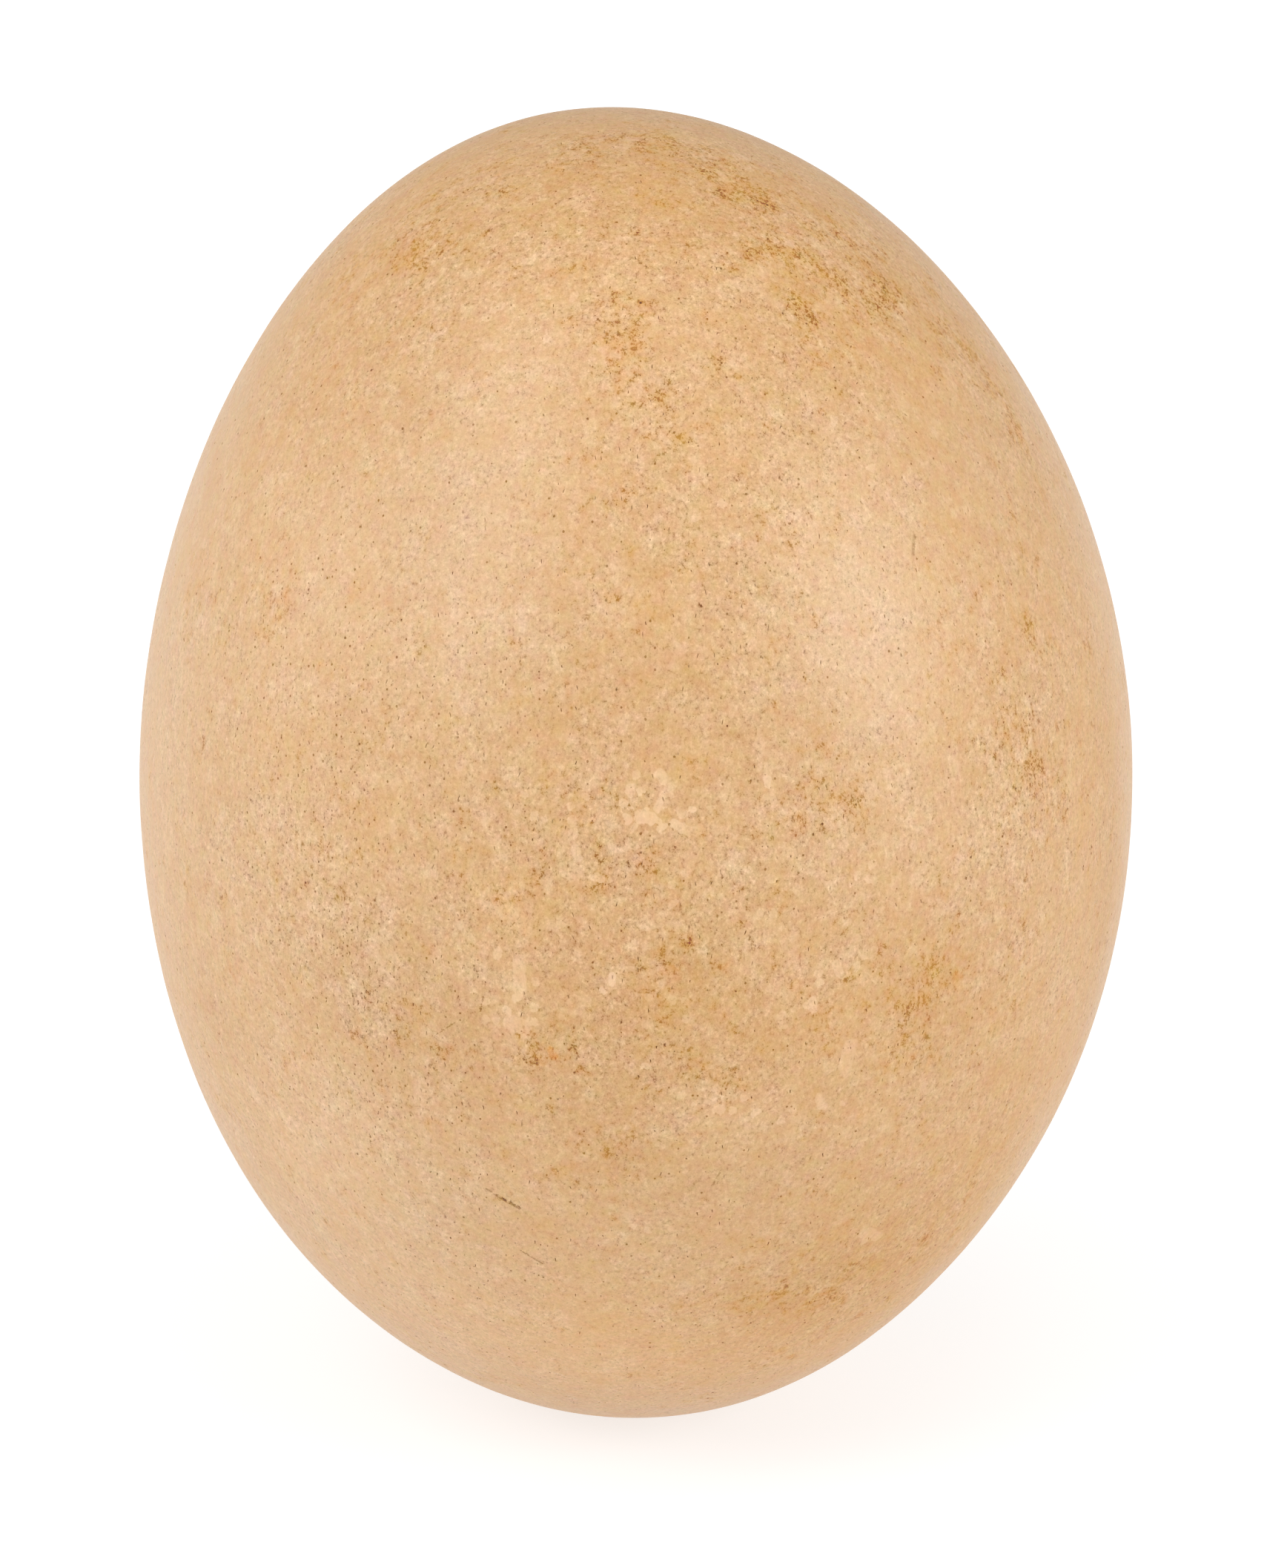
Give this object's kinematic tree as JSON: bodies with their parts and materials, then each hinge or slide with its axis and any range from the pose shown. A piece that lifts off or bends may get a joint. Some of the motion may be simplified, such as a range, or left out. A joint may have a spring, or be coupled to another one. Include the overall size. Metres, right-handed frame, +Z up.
{
  "type": "elephant bird egg",
  "caption": "Very large buff bird's egg with a weathered, finely pitted shell, standing upright on a small flat at its lower end.",
  "frame": {"origin": "middle of the small flat that the egg rests on", "axes": "+Z up along the egg's long axis, towards its slightly slimmer end; -Y is the side that the picture shows, and +X is to the right in it"},
  "size_m": [0.2229, 0.2228, 0.3],
  "materials": {
    "shell": "satin"
  },
  "bodies": {
    "root": {"egg": "shell"}
  },
  "joints": []
}
